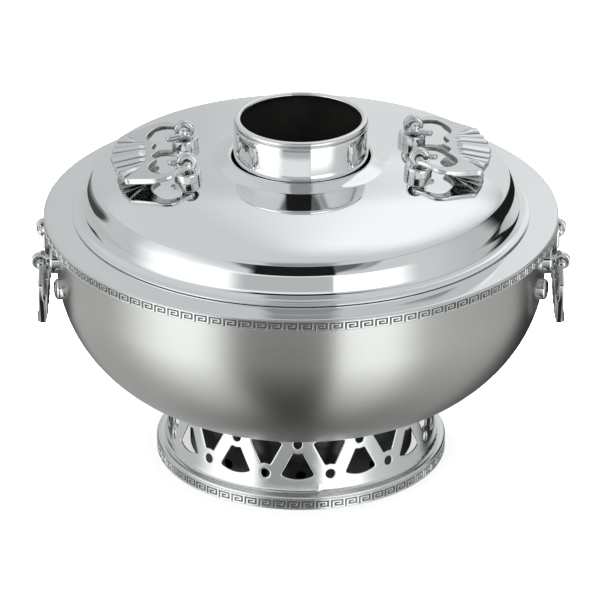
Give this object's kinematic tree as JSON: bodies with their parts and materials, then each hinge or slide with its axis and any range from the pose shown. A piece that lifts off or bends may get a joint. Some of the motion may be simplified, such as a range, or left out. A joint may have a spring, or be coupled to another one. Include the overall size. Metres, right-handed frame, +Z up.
{
  "type": "chimney hot pot",
  "caption": "Footed steel hot pot with a charcoal chimney through its middle, a lift-off ring lid, a pierced stand and hinged cast pulls on lid and bowl.",
  "frame": {"origin": "centre of the foot ring, on the surface that the pot stands on", "axes": "+Z up along the chimney; the pulls are at +X (right) and -X (left); the pictured front is towards -Y"},
  "size_m": [0.3128, 0.2998, 0.211],
  "materials": {
    "satin_steel": "satin, lathe-brushed round the bowl",
    "mirror_steel": "mirror polished stainless sheet",
    "bright_steel": "bright drawn stainless sheet",
    "cast_steel": "polished casting",
    "sooty_steel": "heat-darkened, unpolished",
    "grate_iron": "rough casting"
  },
  "bodies": {
    "pot": {"bowl": "satin_steel", "rim_flange": "mirror_steel", "fire_cone": "sooty_steel", "flue_tube": "sooty_steel", "chimney_sleeve": "mirror_steel", "chimney_lip_ring": "mirror_steel", "fire_drum": "sooty_steel", "fire_bed": "sooty_steel", "drum_floor": "sooty_steel", "stand_drum": "bright_steel", "foot_ring": "bright_steel", "side_post_left_front": "cast_steel", "side_post_left_rear": "cast_steel", "side_post_right_front": "cast_steel", "side_post_right_rear": "cast_steel", "side_post_washers": "bright_steel", "side_post_nuts": "bright_steel", "side_stop_studs": "cast_steel"},
    "grate": {"fire_grate": "grate_iron"},
    "lid": {"lid_shell": "mirror_steel", "lid_locating_ring": "bright_steel", "lid_post_left_front": "cast_steel", "lid_post_left_rear": "cast_steel", "lid_post_right_front": "cast_steel", "lid_post_right_rear": "cast_steel", "lid_post_washers": "bright_steel", "lid_post_nuts": "bright_steel"},
    "lid_pull_left": {"lid_pull_left": "cast_steel"},
    "lid_pull_right": {"lid_pull_right": "cast_steel"},
    "side_pull_left": {"side_pull_left": "cast_steel"},
    "side_pull_right": {"side_pull_right": "cast_steel"}
  },
  "joints": [
    {"name": "lid_lift", "type": "slide", "parent": "pot", "child": "lid", "axis": [0, 0, 1], "range_m": [0, 0.12]},
    {"name": "grate_lift", "type": "slide", "parent": "pot", "child": "grate", "axis": [0, 0, 1], "range_m": [0, 0.2]},
    {"name": "lid_pull_left_swing", "type": "hinge", "parent": "lid", "child": "lid_pull_left", "pos_m": [-0.0667, -0.00361, 0.1944], "axis": [-0.0541, 0.9985, 0], "range_deg": [0, 150]},
    {"name": "lid_pull_right_swing", "type": "hinge", "parent": "lid", "child": "lid_pull_right", "pos_m": [0.0667, 0.00361, 0.1944], "axis": [0.0541, -0.9985, 0], "range_deg": [0, 150]},
    {"name": "side_pull_left_swing", "type": "hinge", "parent": "pot", "child": "side_pull_left", "pos_m": [-0.1513, 0, 0.1307], "axis": [0, 1, 0], "range_deg": [-14, 165]},
    {"name": "side_pull_right_swing", "type": "hinge", "parent": "pot", "child": "side_pull_right", "pos_m": [0.1513, 0, 0.1307], "axis": [0, -1, 0], "range_deg": [-14, 165]}
  ]
}
